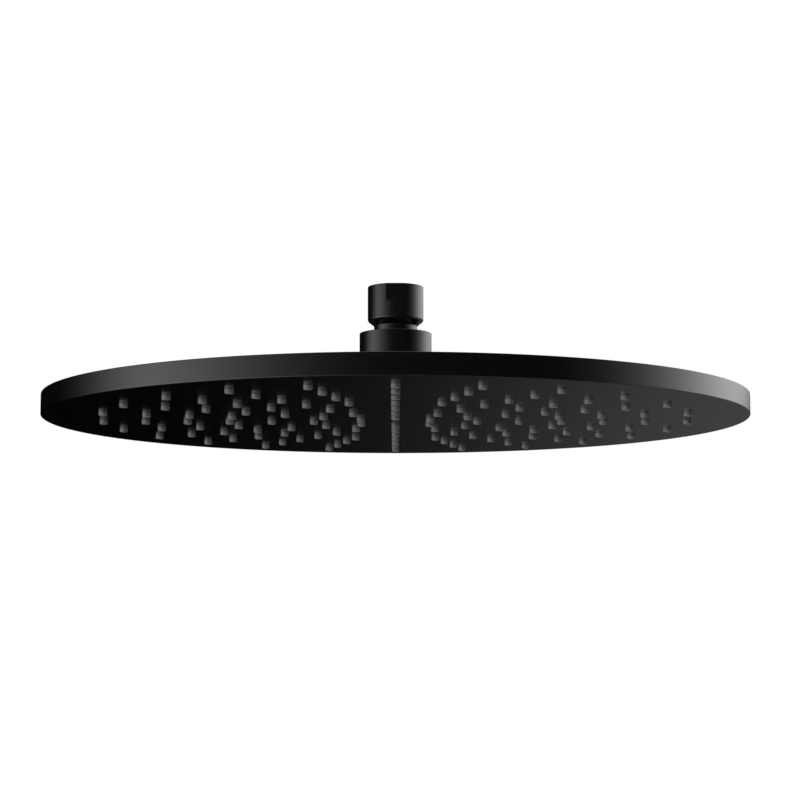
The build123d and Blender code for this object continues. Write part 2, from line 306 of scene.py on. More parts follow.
def turned_metal(name, tones, feed, smoothest):
    """A bare metal with the rings of a lathe and a little change of tone."""
    finish, tree, shader, place = new_finish(name)
    rings = add(
        tree, "ShaderNodeTexWave",
        {"Vector": place, "Scale": WAVE_PERIOD / (feed * MM), "Distortion": 2.0, "Detail": 2.0},
        bands_direction="Z",
    ).outputs["Fac"]
    tarnish = add(
        tree, "ShaderNodeTexNoise",
        {"Vector": place, "Scale": 1 / (TARNISH_WIDTH * MM), "Detail": 4.0},
    ).outputs["Fac"]
    bump = add(tree, "ShaderNodeBump", {"Height": rings, "Distance": RING_DEPTH * MM})
    vary(tree, shader, tarnish, tones, tarnish, (smoothest, smoothest + ROUGHNESS_STEP))
    tree.links.new(bump.outputs["Normal"], shader.inputs["Normal"])
    shader.inputs["Metallic"].default_value = 1.0
    print(name)
    return finish


bare_brass = turned_metal("turned_bare_brass", ("#dcb763", "#cfa552"), 0.3, 0.22)
stainless_steel = turned_metal("drawn_stainless_steel", ("#c9c9ca", "#b9babc"), 0.2, 0.24)

# %% [markdown]
# ## Drawing a section
# A turned piece is one section swept about the axis. The section is a list of corners. A corner
# with a third number is drawn as a round of that size: such small rounds catch the thin lines of
# light that tell a real edge from a drawn one. A bevel modifier could round the edges later, but
# here each edge has its own size from the start.

# %% Helper for sections
ROUND_STEPS = 5
HAIR_ROUND = 0.1
FINE_ROUND = 0.15
SMALL_ROUND = 0.2
SOFT_ROUND = 0.25
EDGE_ROUND = 0.3
FULL_ROUND = 0.4


def outline(*corners):
    """Points of a section whose corners are (radius, level) or (radius, level, round)."""
    points = []
    for index, corner in enumerate(corners):
        here = Vector(corner[:2])
        if len(corner) == 2:
            points.append(here)
            continue
        before = Vector(corners[index - 1][:2]) - here
        after = Vector(corners[(index + 1) % len(corners)][:2]) - here
        run = corner[2] / tan(before.angle(after) / 2)
        start = here + before.normalized() * run
        end = here + after.normalized() * run
        for step in range(ROUND_STEPS + 1):
            part = step / ROUND_STEPS
            points.append(start.lerp(here, part).lerp(here.lerp(end, part), part))
    return points


print("a round has", ROUND_STEPS, "steps")

# %% [markdown]
# ## Turning a section
# Blender's spin tool or a screw modifier could sweep the section, but building the rings of
# vertices directly keeps hold of them, so that a flat level can later be filled around holes.

# %% Helpers for turned pieces
FINE_SEGMENTS = 360
SEGMENTS = 144


def turn(mesh, points, segments=SEGMENTS, closed=True, centre=(0.0, 0.0), gap=0.0):
    """Turn a section about an upright axis into rings, all round or with a gap at the back."""
    first = pi / 2 + gap / 2 if gap else 0.0
    places = segments + 1 if gap else segments
    rings = []
    for radius, level in points:
        ring = []
        for index in range(places):
            angle = first + (2 * pi - gap) * index / segments
            x = centre[0] + radius * cos(angle)
            y = centre[1] + radius * sin(angle)
            ring.append(mesh.verts.new((x * MM, y * MM, level * MM)))
        rings.append(ring)
    followers = rings[1:] + rings[:1] if closed else rings[1:]
    for lower, upper in zip(rings, followers):
        for index in range(segments):
            after = (index + 1) % places
            mesh.faces.new((lower[index], lower[after], upper[after], upper[index]))
    return rings


def fill(mesh, *rings):
    """Close a flat level between rings of vertices, with the inner rings left open as holes."""
    edges = []
    for ring in rings:
        for start, end in zip(ring, ring[1:] + ring[:1]):
            edges.append(mesh.edges.get((start, end)) or mesh.edges.new((start, end)))
    bmesh.ops.triangle_fill(mesh, edges=edges, use_beauty=True)


print("a fine ring has", FINE_SEGMENTS, "segments")

# %% [markdown]
# ## Dressing a solid
# A finished mesh becomes an object that stands for its solid and moves with the same body. It is
# shaded smooth, but an edge sharper than 30 degrees stays crisp. Large flat levels would look
# swollen beside small rounds, so weighted normals let the large faces decide.

# %% Helpers for pieces
MERGE_DISTANCE = 1e-7
SHARP_ANGLE = radians(30)


def to_object(mesh, name):
    """Clean a mesh and make a Blender object of it."""
    bmesh.ops.remove_doubles(mesh, verts=mesh.verts, dist=MERGE_DISTANCE)
    bmesh.ops.recalc_face_normals(mesh, faces=mesh.faces)
    data = bpy.data.meshes.new(name)
    mesh.to_mesh(data)
    mesh.free()
    piece = bpy.data.objects.new(name, data)
    bpy.context.scene.collection.objects.link(piece)
    return piece


def dress(piece, node, finish, sharp_angle=SHARP_ANGLE):
    """Shade a piece, give it its finish, and let it stand for its solid on the same body."""
    piece.data.shade_smooth()
    piece.data.set_sharp_from_angle(angle=sharp_angle)
    normals = piece.modifiers.new("flat levels stay flat", "WEIGHTED_NORMAL")
    normals.keep_sharp = True
    piece.data.materials.clear()
    piece.data.materials.append(finish)
    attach(piece, body_of[node])
    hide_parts(node)
    print(f"{piece.name}: {len(piece.data.polygons)} faces for {node}")


print("helpers for pieces ready")

# %% [markdown]
# ## The spray face
# The face and the rim are one moulding, a shallow tray pierced by a hole for each nozzle. The
# holes could be cut with booleans, but 126 cuts are slow and leave ragged triangles. Here the
# section is turned as an open strip from the face's outer edge round the rim to the inside, each
# hole is a short tube, and the two flat levels are filled around the tubes.

# %% Nozzle places and the face
FIRST_RING = 17.0
RING_PITCH = 18.0
RING_COUNTS = (6, 12, 12, 24, 24, 24, 24)
NOZZLE_RADIUS = 1.75
NOZZLE_FIT = 0.1
HOLE_SEGMENTS = 24
FACE_WALL = 2.0
FACE_STRIP = 2.0
RIM_WALL = 3.0
RIM_LIP = 1.5
COVER_WALL = 2.0
cover_underside = disc_top - COVER_WALL
face_inside = face_level + FACE_WALL

nozzle_places = []
for ring_index, count in enumerate(RING_COUNTS):
    for place_index in range(count):
        angle = pi / 2 + 2 * pi * place_index / count
        distance = FIRST_RING + ring_index * RING_PITCH
        nozzle_places.append((distance * cos(angle), distance * sin(angle)))

mesh = bmesh.new()
rim = turn(mesh, outline(
    (disc_radius - FACE_STRIP, face_level),
    (disc_radius, face_level, EDGE_ROUND),
    (disc_radius, disc_top, EDGE_ROUND),
    (disc_radius - RIM_LIP, disc_top, FINE_ROUND),
    (disc_radius - RIM_LIP, cover_underside),
    (disc_radius - RIM_WALL, cover_underside),
    (disc_radius - RIM_WALL, face_inside),
), FINE_SEGMENTS, closed=False)
hole_radius = NOZZLE_RADIUS + NOZZLE_FIT
wall = [(hole_radius, face_level), (hole_radius, face_inside)]
holes = [turn(mesh, wall, HOLE_SEGMENTS, closed=False, centre=place) for place in nozzle_places]
fill(mesh, rim[0], *[hole[0] for hole in holes])
fill(mesh, rim[-1], *[hole[1] for hole in holes])
dress(to_object(mesh, "face_moulding"), "spray_face", satin_coat_on_abs)

# %% [markdown]
# ## The nozzles
# Each nozzle is a short silicone tube with a rounded tip that stands 1.5 mm proud of the face. All
# of them grow from one thin mat behind the face. They could be copies of one object, but the mat
# and its nozzles are one moulding, so they are one mesh: a tube at each place, and the mat filled
# around them.

# %% Mat and nozzles
NOZZLE_BORE_RADIUS = 0.6
TIP_ROUND = 0.6

mesh = bmesh.new()
mat_edge = outline((mat_radius, face_inside), (mat_radius, mat_top))
edge = turn(mesh, mat_edge, FINE_SEGMENTS, closed=False)
nozzle = outline(
    (NOZZLE_RADIUS, face_inside),
    (NOZZLE_RADIUS, tip_level, TIP_ROUND),
    (NOZZLE_BORE_RADIUS, tip_level, SMALL_ROUND),
    (NOZZLE_BORE_RADIUS, mat_top),
)
tubes = [turn(mesh, nozzle, HOLE_SEGMENTS, closed=False, centre=place) for place in nozzle_places]
fill(mesh, edge[0], *[tube[0] for tube in tubes])
fill(mesh, edge[1], *[tube[-1] for tube in tubes])
dress(to_object(mesh, "nozzle_moulding"), "nozzle_mat", moulded_silicone)

# %% [markdown]
# ## The back cover
# The cover is a flat disc let into the rim, with a ring underneath that takes the screws and a
# short round hub in the middle. The hub rises from the disc with a fillet, as a moulding does. The
# ring's underside has a blind pilot hole for each screw, so that level is left open in the section
# and filled around the holes.

# %% Cover with its hub
DOWNSTAND_WIDTH = 5.4
SCREW_COUNT = 12
PILOT_RADIUS = 1.2
SCREW_BITE = 2.6
HUB_FILLET = 1.5
HUB_FLOOR = 1.0
HUB_WALL = 3.9
WATERWAY_RADIUS = 8.0
hub_bore = collar_radius - HUB_WALL
hub_floor = disc_top + HUB_FLOOR
downstand_radius = mat_radius - DOWNSTAND_WIDTH

screw_places = []
for index in range(SCREW_COUNT):
    angle = pi / 2 + 2 * pi * index / SCREW_COUNT
    distance = mat_radius - DOWNSTAND_WIDTH / 2
    screw_places.append((distance * cos(angle), distance * sin(angle)))

mesh = bmesh.new()
strip = turn(mesh, outline(
    (mat_radius, retainer_top),
    (mat_radius, cover_underside),
    (cover_radius, cover_underside),
    (cover_radius, disc_top, FINE_ROUND),
    (collar_radius, disc_top, HUB_FILLET),
    (collar_radius, hub_top, SOFT_ROUND),
    (hub_bore, hub_top, SMALL_ROUND),
    (hub_bore, hub_floor),
    (WATERWAY_RADIUS, hub_floor),
    (WATERWAY_RADIUS, cover_underside),
    (downstand_radius, cover_underside),
    (downstand_radius, retainer_top),
), FINE_SEGMENTS, closed=False)
bite = [(PILOT_RADIUS, retainer_top), (PILOT_RADIUS, retainer_top + SCREW_BITE)]
pilots = [turn(mesh, bite, HOLE_SEGMENTS, closed=False, centre=place) for place in screw_places]
for pilot in pilots:
    mesh.faces.new(pilot[1])
fill(mesh, strip[0], strip[-1], *[pilot[0] for pilot in pilots])
dress(to_object(mesh, "cover_moulding"), "back_cover", satin_coat_on_abs)

# %% [markdown]
# ## The collar
# The collar is the plain round nut that holds the ball. From outside it is only a cylinder with
# finely broken edges. Inside it has a round cup for the slip ring, a mouth that lets the neck
# tilt, and a wider bore that screws over the housing. The cup is a run of points on a sphere,
# which a lathe's form tool would follow in the same way.

# %% Collar
SPHERE_STEPS = 24
COLLAR_THREAD_RADIUS = 14.1
CUP_RADIUS = 13.4
LIP_LATITUDE = 24.0
MOUTH_RADIUS = 13.07
SHOULDER_LEVEL = -31.9


def sphere_run(radius, low, high, steps=SPHERE_STEPS):
    """Points on a sphere about the ball's centre, between two latitudes in degrees."""
    angles = [radians(low + (high - low) * step / steps) for step in range(steps + 1)]
    return [Vector((radius * cos(angle), ball_level + radius * sin(angle))) for angle in angles]


cup = sphere_run(CUP_RADIUS, 0, LIP_LATITUDE)
wall = outline(
    tuple(cup[-1]),
    (MOUTH_RADIUS, collar_top, SMALL_ROUND),
    (collar_radius, collar_top, SOFT_ROUND),
    (collar_radius, collar_bottom, SOFT_ROUND),
    (COLLAR_THREAD_RADIUS, collar_bottom, SOFT_ROUND),
    (COLLAR_THREAD_RADIUS, SHOULDER_LEVEL),
    (CUP_RADIUS, SHOULDER_LEVEL),
)
mesh = bmesh.new()
turn(mesh, cup + wall[1:], FINE_SEGMENTS)
dress(to_object(mesh, "union_collar"), "collar", satin_coat_on_brass_with_painted_reflection)

# %% [markdown]
# ## The ball connector
# This turned piece has the ball at its foot, a short neck, and the socket that screws on the
# shower arm. The socket's thread is a half-inch pipe thread with a pitch of 1.814 mm. A thread
# could be swept along a helix, but on a turned wall it is simpler to let each vertex sink by where
# it stands: a wave that climbs one pitch for each turn. Both ends fade out, as a real thread runs
# out.

# %% Connector with its thread
NECK_RADIUS = 9.3
NECK_FILLET = 0.8
BALL_RADIUS = 12.0
BALL_STEPS = 40
SOCKET_BOTTOM = -17.0
SOCKET_TAPER = 2.1
SOCKET_EDGE_ROUND = 1.5
THREAD_RADIUS = 9.5
THREAD_CUT = 0.95
THREAD_PITCH = 1.814
THREAD_END = -10.5
ROWS_PER_PITCH = 14
MOUTH_CHAMFER = 1.0
GROOVE_RADIUS = 10.6
WASHER_SEAT = -13.5
LIMITER_BORE = 7.75
LIMITER_SEAT = -17.1
PASSAGE_RADIUS = 5.5

thread_start = inlet_level - MOUTH_CHAMFER
thread_length = thread_start - THREAD_END
row_count = round(thread_length / THREAD_PITCH * ROWS_PER_PITCH)
rows = []
for row in range(row_count + 1):
    rows.append(Vector((THREAD_RADIUS, thread_start - thread_length * row / row_count)))
neck_latitude = degrees(acos(NECK_RADIUS / BALL_RADIUS))
flat_latitude = degrees(asin((ball_bottom - ball_level) / BALL_RADIUS))
ball = sphere_run(BALL_RADIUS, flat_latitude, neck_latitude, BALL_STEPS)
outside = outline(
    tuple(ball[-1]),
    (NECK_RADIUS, SOCKET_BOTTOM, NECK_FILLET),
    (socket_radius, SOCKET_BOTTOM + SOCKET_TAPER, SOCKET_EDGE_ROUND),
    (socket_radius, inlet_level, SMALL_ROUND),
    (THREAD_RADIUS + MOUTH_CHAMFER, inlet_level, FINE_ROUND),
    tuple(rows[0]),
)
inside = outline(
    tuple(rows[-1]),
    (GROOVE_RADIUS, THREAD_END),
    (GROOVE_RADIUS, WASHER_SEAT),
    (LIMITER_BORE, WASHER_SEAT, FINE_ROUND),
    (LIMITER_BORE, LIMITER_SEAT),
    (PASSAGE_RADIUS, LIMITER_SEAT, SMALL_ROUND),
    (PASSAGE_RADIUS, ball_bottom, EDGE_ROUND),
    tuple(ball[0]),
)
mesh = bmesh.new()
rings = turn(mesh, ball + outside[1:-1] + rows + inside[1:-1])
first_row = len(ball) + len(outside) - 2
for row, ring in enumerate(rings[first_row:first_row + len(rows)]):
    level = rows[row].y
    fade = min(1.0, (thread_start - level) / THREAD_PITCH, (level - THREAD_END) / THREAD_PITCH)
    for index, vertex in enumerate(ring):
        phase = level / THREAD_PITCH - index / SEGMENTS
        sunk = THREAD_RADIUS + fade * THREAD_CUT * (1 + cos(2 * pi * phase)) / 2
        vertex.co.x *= sunk / THREAD_RADIUS
        vertex.co.y *= sunk / THREAD_RADIUS
connector = to_object(mesh, "swivel_connector")
print("thread turns:", round(thread_length / THREAD_PITCH, 1))

# %% [markdown]
# ## The spanner flats
# Two shallow flats on the socket, at the front and the back, take a spanner. They end below in
# rounded corners, where the milling cutter stopped. A boolean cut is the honest way here, because
# that is how the real flat is made: a cutter of the flat's outline passes in from the side.

# %% Mill the flats
FLAT_DEPTH = 0.7
FLAT_HEIGHT = 7.6
FLAT_CORNER = 2.5
FLAT_SPARE = 0.5
CORNER_STEPS = 10
CUTTER_SPARE = 2.0

near = socket_radius - FLAT_DEPTH
far = socket_radius + CUTTER_SPARE
half_width = sqrt(socket_radius**2 - near**2) + FLAT_SPARE
corner_level = inlet_level - FLAT_HEIGHT + FLAT_CORNER
top = inlet_level + CUTTER_SPARE
shape = [(half_width, top), (-half_width, top)]
for side, first in ((-1, pi), (1, 1.5 * pi)):
    for step in range(CORNER_STEPS + 1):
        angle = first + pi / 2 * step / CORNER_STEPS
        x = side * (half_width - FLAT_CORNER) + FLAT_CORNER * cos(angle)
        shape.append((x, corner_level + FLAT_CORNER * sin(angle)))
mesh = bmesh.new()
for facing in (-1, 1):
    loops = []
    for y in (facing * near, facing * far):
        loops.append([mesh.verts.new((x * MM, y * MM, z * MM)) for x, z in shape])
        mesh.faces.new(loops[-1])
    inner, outer = loops
    for index in range(len(shape)):
        mesh.faces.new((inner[index - 1], inner[index], outer[index], outer[index - 1]))
cutter = to_object(mesh, "flat_cutter")
milling = connector.modifiers.new("flats", "BOOLEAN")
milling.object = cutter
milling.solver = "EXACT"
bpy.context.view_layer.update()
graph = bpy.context.evaluated_depsgraph_get()
milled = bpy.data.meshes.new_from_object(connector.evaluated_get(graph))
connector.modifiers.clear()
connector.data = milled
bpy.data.objects.remove(cutter)
dress(connector, "ball_connector", satin_coat_on_brass_with_painted_reflection)

# %% [markdown]
# ## Plain rings
# The washers and seals are flat rings, cut or moulded with slightly soft edges. One short function
# turns all of them, because only their sizes and edges differ.

# %% Washers and seals
WASHER_BORE = 6.5
LIMITER_POST = 2.5
CHAMBER_SEAL_WIDTH = 2.4
HUB_SEAL_ROUND = 0.12


def plain_ring(name, node, bore, soft):
    """A flat rubber ring with soft edges, in the place of its solid."""
    radius, bottom, top = reach(node)
    mesh = bmesh.new()
    turn(mesh, outline(
        (bore, bottom, soft),
        (radius, bottom, soft),
        (radius, top, soft),
        (bore, top, soft),
    ))
    dress(to_object(mesh, name), node, moulded_rubber)


plain_ring("inlet_seal", "inlet_washer", WASHER_BORE, SOFT_ROUND)
plain_ring("hub_seal", "housing_seal", WATERWAY_RADIUS, HUB_SEAL_ROUND)
plain_ring("limiter_band", "limiter_ring", LIMITER_POST, FULL_ROUND)
plain_ring("water_seal", "chamber_seal", downstand_radius - CHAMBER_SEAL_WIDTH, SOFT_ROUND)

# %% [markdown]
# ## The housing
# Inside the collar sits a brass housing, turned with a flange and a spigot that the collar screws
# on. It is hardly seen, but it carries the joint, so it keeps its solid's form. The flange shows
# as a thin line under the collar, so the coat goes over it and creeps a little way up the spigot:
# those faces get a second material.

# %% Housing
HOUSING_BORE = 12.3
SHANK_FIT = 0.1
SPIGOT_RADIUS = 14.0
FLANGE_THICKNESS = 1.0
COAT_CREEP = 1.5
SURFACE_MARGIN = 0.1
flange_radius, shank_bottom, spigot_top = reach("ball_housing")
seat_outside, seat_bottom, seat_top = reach("ball_seat")
shank_radius = hub_bore - SHANK_FIT
flange_top = hub_top + FLANGE_THICKNESS
coat_edge = flange_top + COAT_CREEP

mesh = bmesh.new()
turn(mesh, outline(
    (WATERWAY_RADIUS, shank_bottom, SMALL_ROUND),
    (shank_radius, shank_bottom, EDGE_ROUND),
    (shank_radius, hub_top),
    (flange_radius, hub_top, HAIR_ROUND),
    (flange_radius, flange_top, SMALL_ROUND),
    (SPIGOT_RADIUS, flange_top),
    (SPIGOT_RADIUS, coat_edge),
    (SPIGOT_RADIUS, spigot_top, FULL_ROUND),
    (HOUSING_BORE, spigot_top, FINE_ROUND),
    (HOUSING_BORE, seat_bottom),
    (WATERWAY_RADIUS, seat_bottom, SMALL_ROUND),
))
housing = to_object(mesh, "brass_housing")
dress(housing, "ball_housing", bare_brass)
housing.data.materials.append(satin_coat_on_brass_with_painted_reflection)
for side in housing.data.polygons:
    outward = side.center.xy.length > (SPIGOT_RADIUS - SURFACE_MARGIN) * MM
    if outward and side.center.z < coat_edge * MM:
        side.material_index = 1

# %% [markdown]
# ## The ball's seat
# A rubber cup under the ball seals it. Its inside is a part of a sphere a little larger than the
# ball, drawn as a run of points like the collar's cup.

# %% Seat
SEAT_RADIUS = 12.15
SEAT_LATITUDE = 42.0

top_latitude = degrees(asin((seat_top - ball_level) / SEAT_RADIUS))
cup = sphere_run(SEAT_RADIUS, -SEAT_LATITUDE, top_latitude)
wall = outline(
    tuple(cup[-1]),
    (seat_outside, seat_top),
    (seat_outside, seat_bottom, EDGE_ROUND),
    (cup[0].x, seat_bottom, SMALL_ROUND),
    tuple(cup[0]),
)
mesh = bmesh.new()
turn(mesh, cup + wall[1:-1])
dress(to_object(mesh, "rubber_seat"), "ball_seat", moulded_rubber)

# %% [markdown]
# ## The slip ring
# A white ring over the ball lets it slide in the collar. It is split so that it can be sprung over
# the ball. A boolean could cut the split, but it is simpler to turn the ring with a gap and to
# close its two ends.

# %% Slip ring
SLIP_INSIDE = 12.15
SLIP_OUTSIDE = 13.25
SLIP_LATITUDE = 22.0
SLIP_SPLIT = 1.5
INSIDE_BEVEL = 1.0
OUTSIDE_BEVEL = 0.5

inner = sphere_run(SLIP_INSIDE, INSIDE_BEVEL, SLIP_LATITUDE - INSIDE_BEVEL)
outer = sphere_run(SLIP_OUTSIDE, SLIP_LATITUDE - OUTSIDE_BEVEL, OUTSIDE_BEVEL)
mesh = bmesh.new()
rings = turn(mesh, inner + outer, gap=2 * asin(SLIP_SPLIT / 2 / SLIP_OUTSIDE))
for end in (0, -1):
    mesh.faces.new([ring[end] for ring in rings])
dress(to_object(mesh, "slip_ring"), "ball_liner", natural_acetal)

# %% [markdown]
# ## The flow limiter
# Under the inlet's screen sits an acetal insert with a ring of holes round a post. A rubber band
# on the post swells under pressure and throttles the holes. The insert is two turned strips, the
# cup and the post, and its floor is filled between them around the holes, as the face is.

# %% Limiter insert
LIMITER_FLOOR = 1.2
LIMITER_WALL = 1.2
LIMITER_STRIP = 1.0
LIMITER_HOLE_RADIUS = 0.8
LIMITER_HOLES = 8
limiter_radius, limiter_bottom, limiter_top = reach("flow_limiter")
limiter_floor = limiter_bottom + LIMITER_FLOOR
limiter_bore = limiter_radius - LIMITER_WALL
hole_circle = (LIMITER_POST + limiter_bore) / 2

mesh = bmesh.new()
cup = turn(mesh, outline(
    (limiter_radius - LIMITER_STRIP, limiter_bottom),
    (limiter_radius, limiter_bottom, SMALL_ROUND),
    (limiter_radius, limiter_top, FINE_ROUND),
    (limiter_bore, limiter_top, FINE_ROUND),
    (limiter_bore, limiter_floor),
), closed=False)
post = turn(mesh, outline(
    (LIMITER_POST, limiter_floor),
    (LIMITER_POST, limiter_top, EDGE_ROUND),
    (0.0, limiter_top),
), closed=False)
drop = [(LIMITER_HOLE_RADIUS, limiter_bottom), (LIMITER_HOLE_RADIUS, limiter_floor)]
holes = []
for index in range(LIMITER_HOLES):
    angle = 2 * pi * index / LIMITER_HOLES
    centre = (hole_circle * cos(angle), hole_circle * sin(angle))
    holes.append(turn(mesh, drop, HOLE_SEGMENTS, closed=False, centre=centre))
fill(mesh, cup[0], *[hole[0] for hole in holes])
fill(mesh, cup[-1], post[0], *[hole[1] for hole in holes])
dress(to_object(mesh, "limiter_insert"), "flow_limiter", natural_acetal)

# %% [markdown]
# ## The woven screen
# A small sieve of stainless wire lies under the inlet's washer and keeps grit out. It is woven:
# each wire goes over one and under the next. A pattern in the material would look flat from close
# by, so every wire is a real tube that follows a wave, and its neighbour follows the opposite one.
# A pressed rim holds the ends. A real sieve has about two wires to the millimetre, drawn here at
# half as many.

# %% Wires and rim of the screen
WIRE_PITCH = 0.9
WIRE_RADIUS = 0.09
WIRE_RISE = 0.085
WIRE_GRIP = 0.3
WIRE_SIDES = 8
STEPS_PER_PITCH = 6
SCREEN_RIM_BORE = 6.3
WIRE_SHARP_ANGLE = radians(65)
screen_radius, screen_bottom, screen_top = reach("filter_screen")
screen_middle = (screen_bottom + screen_top) / 2
wires_each_side = int(SCREEN_RIM_BORE / WIRE_PITCH)

mesh = bmesh.new()
turn(mesh, outline(
    (SCREEN_RIM_BORE, screen_bottom, HAIR_ROUND),
    (screen_radius, screen_bottom, HAIR_ROUND),
    (screen_radius, screen_top, HAIR_ROUND),
    (SCREEN_RIM_BORE, screen_top, HAIR_ROUND),
))
for crosswise in (0, 1):
    for line in range(-wires_each_side, wires_each_side + 1):
        aside = line * WIRE_PITCH
        half_length = sqrt((SCREEN_RIM_BORE + WIRE_GRIP) ** 2 - aside**2)
        steps = round(2 * half_length / WIRE_PITCH * STEPS_PER_PITCH)
        wire = []
        for step in range(steps + 1):
            along = half_length * (2 * step / steps - 1)
            lift = WIRE_RISE * cos(pi * along / WIRE_PITCH) * (-1) ** (line + crosswise)
            ring = []
            for side in range(WIRE_SIDES):
                angle = 2 * pi * side / WIRE_SIDES
                beside = aside + WIRE_RADIUS * cos(angle)
                level = screen_middle + lift + WIRE_RADIUS * sin(angle)
                x, y = (beside, along) if crosswise else (along, beside)
                ring.append(mesh.verts.new((x * MM, y * MM, level * MM)))
            wire.append(ring)
        for before, after in zip(wire, wire[1:]):
            for side in range(WIRE_SIDES):
                mesh.faces.new((before[side - 1], before[side], after[side], after[side - 1]))
        mesh.faces.new(wire[0])
        mesh.faces.new(wire[-1])
print("wires:", 2 * (2 * wires_each_side + 1))
dress(to_object(mesh, "woven_screen"), "filter_screen", stainless_steel, WIRE_SHARP_ANGLE)

# %% [markdown]
# ## The plate over the mat
# Behind the mat, a polypropylene plate presses it on the face. Slots with round ends let the water
# reach each row of nozzles, and stepped holes take the screws. A slot is an outline stood upright,
# a stepped hole is a turned strip, and both levels of the plate are filled around all of them.

# %% Plate
SLOT_HALF = 1.6
SLOT_STRETCH = 0.4
# First ring, last ring and number of slots in each row of slots.
SLOT_ROWS = ((0, 0, 6), (1, 2, 12), (3, 6, 24))
SLOT_END_STEPS = 10
PLATE_STRIP = 0.3
HEAD_RADIUS = 1.9
HEAD_HEIGHT = 0.9
SCREW_RADIUS = 1.1
SCREW_FIT = 0.1
head_level = mat_top + HEAD_HEIGHT


def slot_outline(inner, outer, bearing):
    """Outline of a radial slot with round ends, between two distances from the middle."""
    shape = []
    for centre, first in ((outer, -pi / 2), (inner, pi / 2)):
        for step in range(SLOT_END_STEPS + 1):
            angle = first + pi * step / SLOT_END_STEPS
            x, y = centre + SLOT_HALF * cos(angle), SLOT_HALF * sin(angle)
            turned_x = x * cos(bearing) - y * sin(bearing)
            shape.append((turned_x, x * sin(bearing) + y * cos(bearing)))
    return shape


def raise_wall(mesh, shape, levels):
    """Stand a closed shape upright between levels and return its rings of vertices."""
    rings = []
    for level in levels:
        rings.append([mesh.verts.new((x * MM, y * MM, level * MM)) for x, y in shape])
    for lower, upper in zip(rings, rings[1:]):
        for index in range(len(shape)):
            mesh.faces.new((lower[index - 1], lower[index], upper[index], upper[index - 1]))
    return rings


mesh = bmesh.new()
edge = turn(mesh, outline(
    (mat_radius - PLATE_STRIP, mat_top),
    (mat_radius, mat_top, SMALL_ROUND),
    (mat_radius, retainer_top, SMALL_ROUND),
    (mat_radius - PLATE_STRIP, retainer_top),
), FINE_SEGMENTS, closed=False)
walls = []
for first_ring, last_ring, count in SLOT_ROWS:
    inner, outer = FIRST_RING + first_ring * RING_PITCH, FIRST_RING + last_ring * RING_PITCH
    if inner == outer:
        inner -= SLOT_STRETCH
        outer += SLOT_STRETCH
    for index in range(count):
        shape = slot_outline(inner, outer, pi / 2 + 2 * pi * index / count)
        walls.append(raise_wall(mesh, shape, (mat_top, retainer_top)))
step_hole = [
    (HEAD_RADIUS + SCREW_FIT, mat_top),
    (HEAD_RADIUS + SCREW_FIT, head_level),
    (SCREW_RADIUS + SCREW_FIT, head_level),
    (SCREW_RADIUS + SCREW_FIT, retainer_top),
]
for place in screw_places:
    walls.append(turn(mesh, step_hole, HOLE_SEGMENTS, closed=False, centre=place))
fill(mesh, edge[0], *[wall[0] for wall in walls])
fill(mesh, edge[-1], *[wall[-1] for wall in walls])
dress(to_object(mesh, "mat_plate"), "mat_retainer", moulded_polypropylene)

# %% [markdown]
# ## The screws
# Twelve small stainless screws hold the plate to the cover. Each has a flat head with a six-sided
# recess and a pointed shank. The thread could climb like the inlet's, but it is so small that
# plain rings stand for its turns.

# %% Screws
HEAD_STRIP = 0.5
RECESS_RADIUS = 0.9
RECESS_DEPTH = 0.5
RECESS_SIDES = 6
SCREW_THREAD_PITCH = 0.8
SCREW_THREAD_CUT = 0.25
SCREW_THREAD_RINGS = 3
_, _, screw_tip = reach("retainer_screws")
screw_thread = []
for index in range(SCREW_THREAD_RINGS):
    level = retainer_top + index * SCREW_THREAD_PITCH
    screw_thread.append((SCREW_RADIUS, level))
    screw_thread.append((SCREW_RADIUS - SCREW_THREAD_CUT, level + SCREW_THREAD_PITCH / 2))
screw_section = outline(
    (HEAD_RADIUS - HEAD_STRIP, mat_top),
    (HEAD_RADIUS, mat_top, SMALL_ROUND),
    (HEAD_RADIUS, head_level, HAIR_ROUND),
    (SCREW_RADIUS, head_level),
    *screw_thread,
    (0.0, screw_tip),
)
turns = [2 * pi * side / RECESS_SIDES for side in range(RECESS_SIDES)]
mesh = bmesh.new()
for x, y in screw_places:
    screw = turn(mesh, screw_section, HOLE_SEGMENTS, closed=False, centre=(x, y))
    hexagon = [(x + RECESS_RADIUS * cos(a), y + RECESS_RADIUS * sin(a)) for a in turns]
    recess = raise_wall(mesh, hexagon, (mat_top, mat_top + RECESS_DEPTH))
    mesh.faces.new(recess[1])
    fill(mesh, screw[0], recess[0])
dress(to_object(mesh, "plate_screws"), "retainer_screws", stainless_steel)

# %% [markdown]
# ## The floor
# The shower head hangs in the air with its inlet on the shower arm's end, so a plain pale floor
# lies well below it. Light that comes back up from the floor would wash out the shading of the
# nozzles, so the floor is lit and takes the shadow, but sends no light back to the object. Half of
# its paleness is a glow for the camera alone, which evens out the pools of light under the lamps.

# %% Floor
FLOOR_LEVEL = -1300.0
FLOOR_RADIUS = 5000.0
FLOOR_TONES = ("#b0b0af", "#acacab")
FLOOR_GLOW_COLOUR = "#efefee"
FLOOR_GLOW = 0.5
FLECK_WIDTH = 400.0

